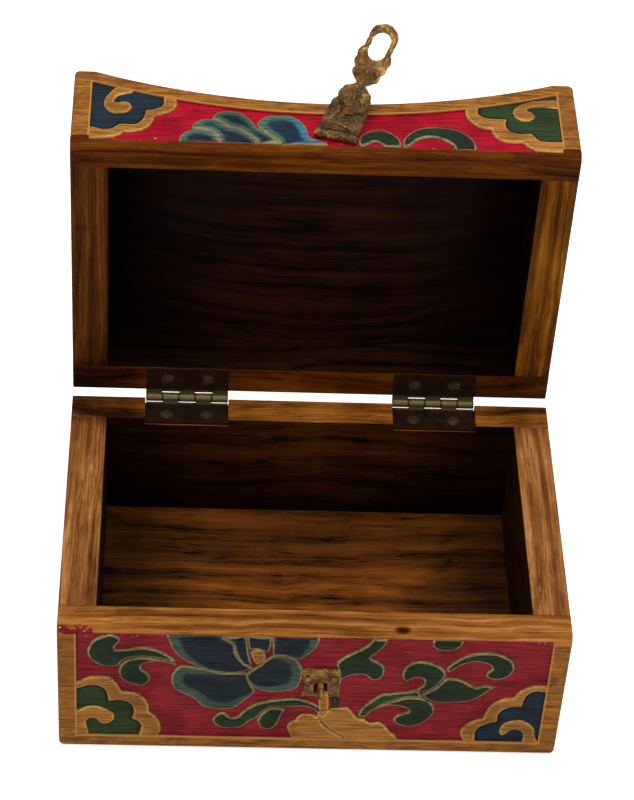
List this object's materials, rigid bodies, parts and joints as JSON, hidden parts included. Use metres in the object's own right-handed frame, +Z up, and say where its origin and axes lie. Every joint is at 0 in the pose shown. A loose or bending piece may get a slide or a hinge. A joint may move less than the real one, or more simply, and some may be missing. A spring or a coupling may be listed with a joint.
{
  "type": "keepsake box",
  "caption": "Small hand-carved wooden keepsake box, painted front, hollow-curved lid on butt hinges, and a brass hasp that closes over a staple.",
  "frame": {"origin": "middle of the base's underside", "axes": "+Z up, +Y towards the hinges, +X to the right seen from the front"},
  "size_m": [0.145, 0.1354, 0.1685],
  "materials": {
    "painted_wood": "carved and painted",
    "stained_wood": "dark stain, worn",
    "hinge_bronze": "antique bronze",
    "hasp_brass": "antique brass, stamped",
    "nail_iron": "dull iron"
  },
  "bodies": {
    "base": {"base_front_panel": "painted_wood", "base_left_end": "painted_wood", "base_right_end": "painted_wood", "base_back_panel": "stained_wood", "base_floor_board": "stained_wood", "left_hinge_base_leaf": "hinge_bronze", "right_hinge_base_leaf": "hinge_bronze", "left_hinge_pin": "hinge_bronze", "right_hinge_pin": "hinge_bronze", "base_leaf_screws": "hinge_bronze", "staple_plate": "hasp_brass", "staple_plate_nails": "hasp_brass", "staple": "hasp_brass", "base_corner_nails": "nail_iron", "base_floor_nails": "nail_iron"},
    "lid": {"lid_front_panel": "painted_wood", "lid_back_panel": "stained_wood", "lid_left_end": "painted_wood", "lid_right_end": "painted_wood", "lid_top_board": "painted_wood", "lid_corner_nails": "nail_iron", "lid_top_nails": "nail_iron", "left_hinge_lid_leaf": "hinge_bronze", "right_hinge_lid_leaf": "hinge_bronze", "lid_leaf_screws": "hinge_bronze", "hasp_plate": "hasp_brass", "hasp_pin": "hasp_brass", "hasp_plate_nails": "hasp_brass"},
    "hasp": {"hasp_tongue": "hasp_brass"}
  },
  "joints": [
    {"name": "lid_hinge", "type": "hinge", "parent": "base", "child": "lid", "pos_m": [0, 0.0495, 0.0488], "axis": [-1, 0, 0], "range_deg": [-89.3, 90.7]},
    {"name": "hasp_hinge", "type": "hinge", "parent": "lid", "child": "hasp", "pos_m": [0.0024, 0.0543, 0.14717], "axis": [0.9715, -0.2368, -0.0029], "range_deg": [-17, 142.7]}
  ]
}
